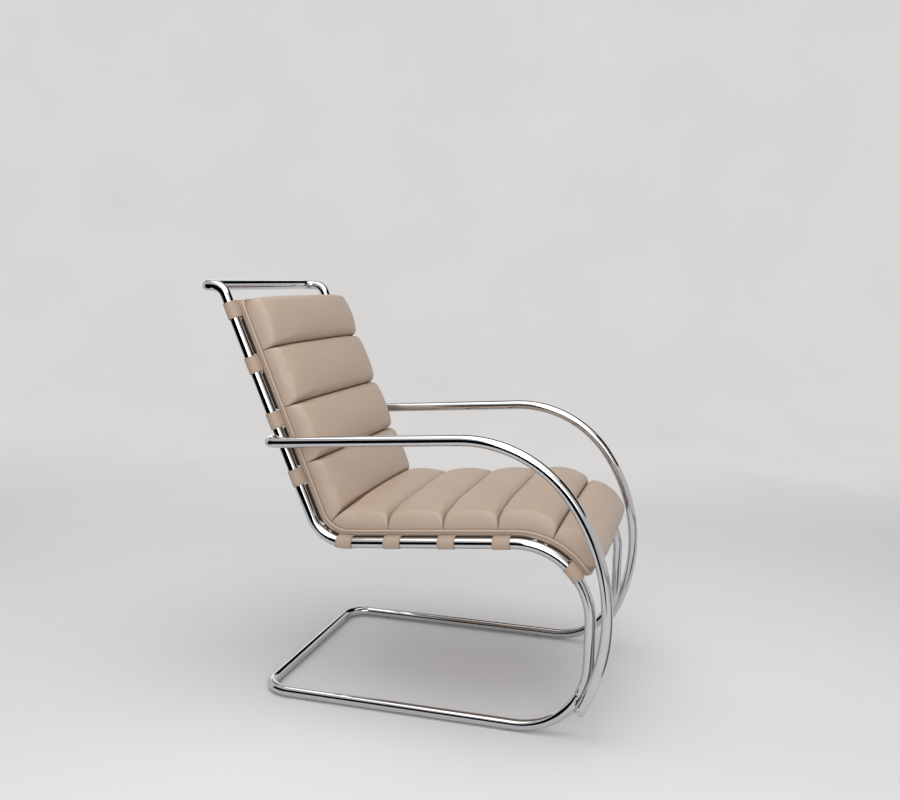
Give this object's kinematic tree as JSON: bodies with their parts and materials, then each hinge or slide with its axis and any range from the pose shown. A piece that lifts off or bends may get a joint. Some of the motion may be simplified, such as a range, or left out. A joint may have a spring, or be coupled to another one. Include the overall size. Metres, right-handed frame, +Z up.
{
  "type": "cantilever lounge chair",
  "caption": "Low armchair on a bent steel tube cantilever frame, with a separate tube loop for the arms, leather belts and a channelled leather cushion in one run from seat to back.",
  "frame": {"origin": "on the floor, under the middle of the bounding box", "axes": "+X to the side, across the chair; -Y to the front, the way the sitter faces; +Z up; X = 0 is the plane of symmetry"},
  "size_m": [0.636, 0.9546, 0.9484],
  "materials": {
    "chrome": "polished chrome plate",
    "screw_steel": "plated, satin",
    "sleeve_steel": "turned, unplated",
    "belt_leather": "smooth saddle leather, satin",
    "cushion_leather": "soft grained leather, satin",
    "welt_leather": "soft leather, satin",
    "panel_leather": "smooth saddle leather, satin",
    "filling": "soft wadding",
    "glide_plastic": "matte",
    "plug_plastic": "polished",
    "spacer_plastic": "matte"
  },
  "bodies": {
    "root": {"arm_end_plug_left": "plug_plastic", "arm_end_plug_right": "plug_plastic", "arm_front_screws": "screw_steel", "arm_front_spacer_left": "spacer_plastic", "arm_front_spacer_right": "spacer_plastic", "arm_loop_tube": "chrome", "arm_rear_saddle_left": "spacer_plastic", "arm_rear_saddle_right": "spacer_plastic", "arm_rear_screws": "screw_steel", "back_fill_1": "filling", "back_fill_2": "filling", "back_fill_3": "filling", "back_fill_4": "filling", "back_roll_1": "cushion_leather", "back_roll_2": "cushion_leather", "back_roll_3": "cushion_leather", "back_roll_4": "cushion_leather", "back_strap_1": "belt_leather", "back_strap_2": "belt_leather", "back_strap_3": "belt_leather", "back_strap_4": "belt_leather", "base_tube": "chrome", "cushion_base": "panel_leather", "cushion_welt": "welt_leather", "front_stretcher": "chrome", "glide_front_left": "glide_plastic", "glide_front_right": "glide_plastic", "glide_rear_left": "glide_plastic", "glide_rear_right": "glide_plastic", "joint_set_screws": "screw_steel", "joint_sleeve_left": "sleeve_steel", "joint_sleeve_right": "sleeve_steel", "rear_stretcher": "chrome", "seat_fill_1": "filling", "seat_fill_2": "filling", "seat_fill_3": "filling", "seat_fill_4": "filling", "seat_fill_5": "filling", "seat_roll_1": "cushion_leather", "seat_roll_2": "cushion_leather", "seat_roll_3": "cushion_leather", "seat_roll_4": "cushion_leather", "seat_roll_5": "cushion_leather", "seat_strap_1": "belt_leather", "seat_strap_2": "belt_leather", "seat_strap_3": "belt_leather", "seat_strap_4": "belt_leather", "seat_strap_5": "belt_leather", "strap_studs": "screw_steel", "upper_frame_tube": "chrome"}
  },
  "joints": []
}
